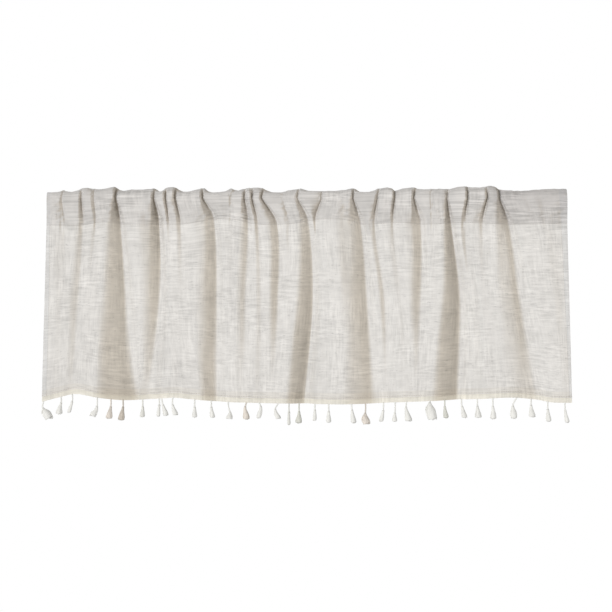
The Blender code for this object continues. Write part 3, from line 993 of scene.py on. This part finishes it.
# tassels: place across the width, then the sideways run of the centre line at thirds of its drop,
# the drop and the skirt's width, mm, and the share of the drop where the skirt is tied
tassels = [
    (0.003, (-2, 5, 12), 35, 20, 0.42), (0.036, (0, -3, -4), 35, 14, 0.38),
    (0.057, (0, -3, -7), 37, 8, 0.45), (0.104, (0, -2, -10), 37, 15, 0.50),
    (0.129, (0, -2, -4), 39, 14, 0.42), (0.151, (0, -2, -4), 41, 14, 0.38),
    (0.187, (0, 0, -1), 36, 11, 0.45), (0.220, (0, -1, -2), 36, 8, 0.40),
    (0.225, (2, 6, 9), 35, 12, 0.40), (0.247, (-1, 2, 6), 35, 12, 0.45),
    (0.288, (0, 0, 0), 36, 11, 0.45), (0.319, (0, 1, 3), 34, 11, 0.40),
    (0.351, (1, 4, 2), 34, 15, 0.62), (0.386, (-3, -1, 0), 34, 15, 0.28),
    (0.410, (3, 1, -2), 31, 10, 0.25), (0.447, (-7, -5, 0), 31, 12, 0.42),
    (0.466, (0, 0, 0), 43, 7, 0.42), (0.485, (0, 0, -1), 40, 14, 0.45),
    (0.515, (0, 0, -1), 34, 9, 0.40), (0.541, (0, 0, 0), 37, 11, 0.42),
    (0.584, (1, 3, 5), 38, 12, 0.35), (0.611, (0, -1, 3), 41, 17, 0.50),
    (0.645, (0, -2, -5), 38, 10, 0.45), (0.667, (0, -1, -1), 39, 11, 0.58),
    (0.688, (-1, 2, 5), 39, 15, 0.30), (0.732, (0, 3, 6), 38, 21, 0.12),
    (0.761, (0, 1, 3), 36, 12, 0.40), (0.794, (1, 4, 7), 38, 12, 0.42),
    (0.823, (0, 1, 2), 38, 15, 0.42), (0.851, (0, 1, 1), 42, 13, 0.42),
    (0.897, (-8, -7, -6), 42, 14, 0.42), (0.924, (0, 1, 3), 37, 14, 0.38),
    (0.955, (0, 1, 2), 40, 12, 0.42), (0.987, (0, 2, 5), 40, 10, 0.40),
]

yarn = {
    "seed": 700,
    "topInTape": 0.001,
    "cordRadius": 0.00105,
    "cordCore": 0.7,  # how far each of the cord's two yarns lies from its middle, in its radii
    "cordTurns": 4,
    "cordSteps": 14,
    "tieRadius": 0.0021,
    "tieThread": 0.0005,
    "tieSteps": 27,
    "tieTurnSteps": 9,
    "tieLength": 0.05,  # this and the next two are shares of the tassel's drop
    "strandsInTie": 0.04,
    "coreInTie": 0.02,
    "strands": 40,
    "strandRadius": 0.0008,
    "strandTurn": 2.399963,  # the angle between strands that spreads them evenly
    "outerShorter": 0.07,
    "ragged": (-0.06, 0.02),
    "wander": 0.3,
    "flat": 0.8,
    "strandEnd": 0.5,
    "core": 0.86,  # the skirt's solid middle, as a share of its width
    "coreLength": 0.92,
    "steps": 8,
    "widest": 0.88,  # share of the skirt's length
    "fuller": {1: 0.5, 15: 0.6, 22: 0.6, 26: 0.4, 31: 0.6},  # the same share on the fuller tassels
    "bend": 0.6,  # how much the skirt's outline bends from neck to full width
    "rounded": 0.1,
    "weld": 0.000001,
    "colour": (0.85, 0.84, 0.80),
    "streaks": 0.04,
}

# painted shade: darker or warmer copies of the yarn for the tassels that hang in the folds' shade; the
# colour, how streaky it is, and their numbers
shadedYarns = {
    "warmShadedYarn": ((0.75, 0.69, 0.62), 0.16, (5, 14, 22)),
    "brownShadedYarn": ((0.62, 0.56, 0.485), 0.12, (6,)),
    "greyShadedYarn": ((0.70, 0.695, 0.63), 0.08, (18, 27)),
    "paleShadedYarn": ((0.78, 0.77, 0.72), 0.06, (7, 17)),
}


def pointOnRow(row, x):
    for a, b in zip(row, row[1:]):
        if a.x <= x <= b.x and b.x > a.x:
            return a.lerp(b, (x - a.x) / (b.x - a.x))
    return row[-1].copy()


# half the skirt's width at a share of the skirt's length: a drop, widest near its end
def skirtReach(t, full, widest):
    if t < widest:
        grown = t / widest
        return mix(yarn["tieRadius"], full, eased(grown) * yarn["bend"] + grown * (1 - yarn["bend"]))
    past = (t - widest) / (1 - widest)
    return full * (1 - yarn["rounded"] * past * past)


def outward(angle, flat=1.0):
    return Vector((math.cos(angle), math.sin(angle) * flat, 0))


# below, centre gives the tassel's centre line at a share of its drop, knot is the share where the
# skirt is tied, and reach gives half the skirt's width at a share of its length
def cordLines(centre, knot):
    lines = []
    last = yarn["cordSteps"]
    for phase in (0, math.pi):
        points = []
        for k in range(last + 1):
            turn = phase + yarn["cordTurns"] * 2 * math.pi * k / last
            points.append(centre(knot * k / last) + outward(turn) * yarn["cordRadius"] * yarn["cordCore"])
        lines.append((points, None))
    return lines


def strandLines(centre, knot, reach):
    lines = []
    last = yarn["steps"] - 1
    for k in range(yarn["strands"]):
        ring = math.sqrt((k + 0.5) / yarn["strands"])
        length = 1 - yarn["outerShorter"] * ring**3 + random.uniform(*yarn["ragged"])
        wander = random.uniform(-yarn["wander"], yarn["wander"])
        points = []
        for n in range(yarn["steps"]):
            t = n / last * length
            away = outward(yarn["strandTurn"] * k + wander * t, yarn["flat"])
            spread = reach(t) - yarn["strandRadius"]
            points.append(centre(mix(knot - yarn["strandsInTie"], 1.0, t)) + away * spread * ring)
        lines.append((points, [1.0] * last + [yarn["strandEnd"]]))
    return lines


def coreLines(centre, knot, reach):
    points, radii = [], []
    for n in range(yarn["steps"]):
        t = yarn["coreLength"] * n / (yarn["steps"] - 1)
        points.append(centre(mix(knot - yarn["coreInTie"], 1.0, t)))
        radii.append(reach(t) * yarn["core"] / yarn["strandRadius"])
    return [(points, radii)]


def tieLines(centre, knot):
    points = []
    for k in range(yarn["tieSteps"] + 1):
        turn = 2 * math.pi * k / yarn["tieTurnSteps"]
        share = knot + yarn["tieLength"] * k / yarn["tieSteps"]
        points.append(centre(share) + outward(turn) * yarn["tieRadius"])
    return [(points, None)]


def makeTassel(number, tassel, material):
    random.seed(yarn["seed"] + number)
    place, runs, drop, skirt, knot = tassel
    widest = yarn["fuller"].get(number, yarn["widest"])
    top = pointOnRow(tapeGrid[0], (place - 0.5) * cloth["widthAtHem"])
    top.z += yarn["topInTape"]

    def centre(share):
        side = readSmoothly((0, 1 / 3, 2 / 3, 1), (0, *runs), share)
        return top + Vector((side * mm, 0, -drop * mm * share))

    def reach(t):
        return skirtReach(t, skirt * mm / 2, widest)

    parts = [
        curveMesh("cord", cordLines(centre, knot), yarn["cordRadius"], 1),
        curveMesh("strands", strandLines(centre, knot, reach), yarn["strandRadius"], 0),
        curveMesh("core", coreLines(centre, knot, reach), yarn["strandRadius"], 2),
        curveMesh("tie", tieLines(centre, knot), yarn["tieThread"], 1),
    ]
    form = bmesh.new()
    for part in parts:
        form.from_mesh(part)
        bpy.data.meshes.remove(part)
    bmesh.ops.remove_doubles(form, verts=form.verts, dist=yarn["weld"])
    bmesh.ops.recalc_face_normals(form, faces=form.faces)
    mesh = bpy.data.meshes.new(f"yarnTassel{number:02d}")
    form.to_mesh(mesh)
    form.free()
    piece = addPiece(f"yarnTassel{number:02d}", mesh, material)
    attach(piece, "root")
    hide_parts(f"tassel_{number:02d}")
    return piece


plainYarn = makeYarnMaterial("tasselYarn", yarn["colour"], yarn["streaks"])
# tassels in the folds' shade get a painted-shade copy of the yarn
yarnOf = {}
for name, (colour, streaks, numbers) in shadedYarns.items():
    yarnOf.update(dict.fromkeys(numbers, makeYarnMaterial(name, colour, streaks)))
for number, tassel in enumerate(tassels, start=1):
    makeTassel(number, tassel, yarnOf.get(number, plainYarn))

# studio
studio = {
    "distance": 3.0,
    "centreHeight": -0.2097,
    "viewWidth": 1.195,
    "viewCentre": -0.0018,
    "sensor": 36,
    "floorHeight": -1.9,
    "floorSize": (6.0, 2.4),
    "floorPale": 0.8,  # how far the floor is plain white to the camera
    "floorColour": (0.9, 0.9, 0.9, 1),
    "floorRoughness": 0.9,
    "white": (1, 1, 1, 1),
    "ambient": 0.53,
    "spread": math.radians(14),
}

# the lamps: strength and turn
lamps = {
    "key": (1.65, (math.radians(97), 0.0, math.radians(-32))),
    "fill": (0.1, (math.radians(60), 0.0, math.radians(50))),
    "back": (0.8, (math.radians(60), 0.0, math.radians(215))),
}


# one shader for some rays and another for the rest
def mixedShaders(tree, value, rest, some, output):
    blend = addNode(tree, "ShaderNodeMixShader")
    tree.links.new(value, blend.inputs[0])
    tree.links.new(rest.outputs[0], blend.inputs[1])
    tree.links.new(some.outputs[0], blend.inputs[2])
    tree.links.new(blend.outputs[0], tree.nodes[output].inputs["Surface"])


def makeCamera():
    camera = bpy.data.objects.new("camera", bpy.data.cameras.new("camera"))
    scene.collection.objects.link(camera)
    camera.location = (studio["viewCentre"], -studio["distance"], studio["centreHeight"])
    camera.rotation_euler = (math.radians(90), 0, 0)
    camera.data.sensor_width = studio["sensor"]
    camera.data.lens = studio["sensor"] * studio["distance"] / studio["viewWidth"]
    scene.camera = camera


def makeLamps():
    for name, (strength, turn) in lamps.items():
        lamp = bpy.data.objects.new(name, bpy.data.lights.new(name, "SUN"))
        lamp.data.energy = strength
        lamp.data.angle = studio["spread"]
        lamp.rotation_euler = turn
        scene.collection.objects.link(lamp)


# an even light all round, seen as plain white
def makeWorld():
    world = bpy.data.worlds.new("studio")
    scene.world = world
    world.use_nodes = True
    tree = world.node_tree
    plain = tree.nodes["Background"]
    plain.inputs["Color"].default_value = studio["white"]
    plain.inputs["Strength"].default_value = studio["ambient"]
    white = addNode(tree, "ShaderNodeBackground")
    white.inputs["Color"].default_value = studio["white"]
    white.inputs["Strength"].default_value = 1.0
    rays = addNode(tree, "ShaderNodeLightPath").outputs
    mirrored = joined(tree, "MAXIMUM", rays["Is Glossy Ray"], rays["Is Transmission Ray"])
    seen = joined(tree, "MAXIMUM", rays["Is Camera Ray"], mirrored)
    mixedShaders(tree, seen, plain, white, "World Output")


def makeFloor():
    bpy.ops.mesh.primitive_plane_add(size=1.0)
    floor = bpy.context.object
    floor.name = "floor"
    floor.data.transform(Matrix.Diagonal((*studio["floorSize"], 1.0, 1.0)))
    floor.data.transform(Matrix.Translation((0, 0, studio["floorHeight"])))
    material, tree, shader = newMaterial("floor", studio["floorRoughness"])
    shader.inputs["Base Color"].default_value = studio["floorColour"]
    white = addNode(tree, "ShaderNodeEmission")
    white.inputs["Strength"].default_value = 1.0
    rays = addNode(tree, "ShaderNodeLightPath").outputs
    seen = joined(tree, "MULTIPLY", rays["Is Camera Ray"], studio["floorPale"])
    mixedShaders(tree, seen, shader, white, "Material Output")
    floor.data.materials.append(material)
    floor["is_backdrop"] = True


makeCamera()
makeLamps()
makeWorld()
makeFloor()
scene.view_settings.view_transform = "Standard"
print("studio made")

boxes = {"cad": cadBox, "visual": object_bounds()}
{name: [list(low), list(high)] for name, (low, high) in boxes.items()}
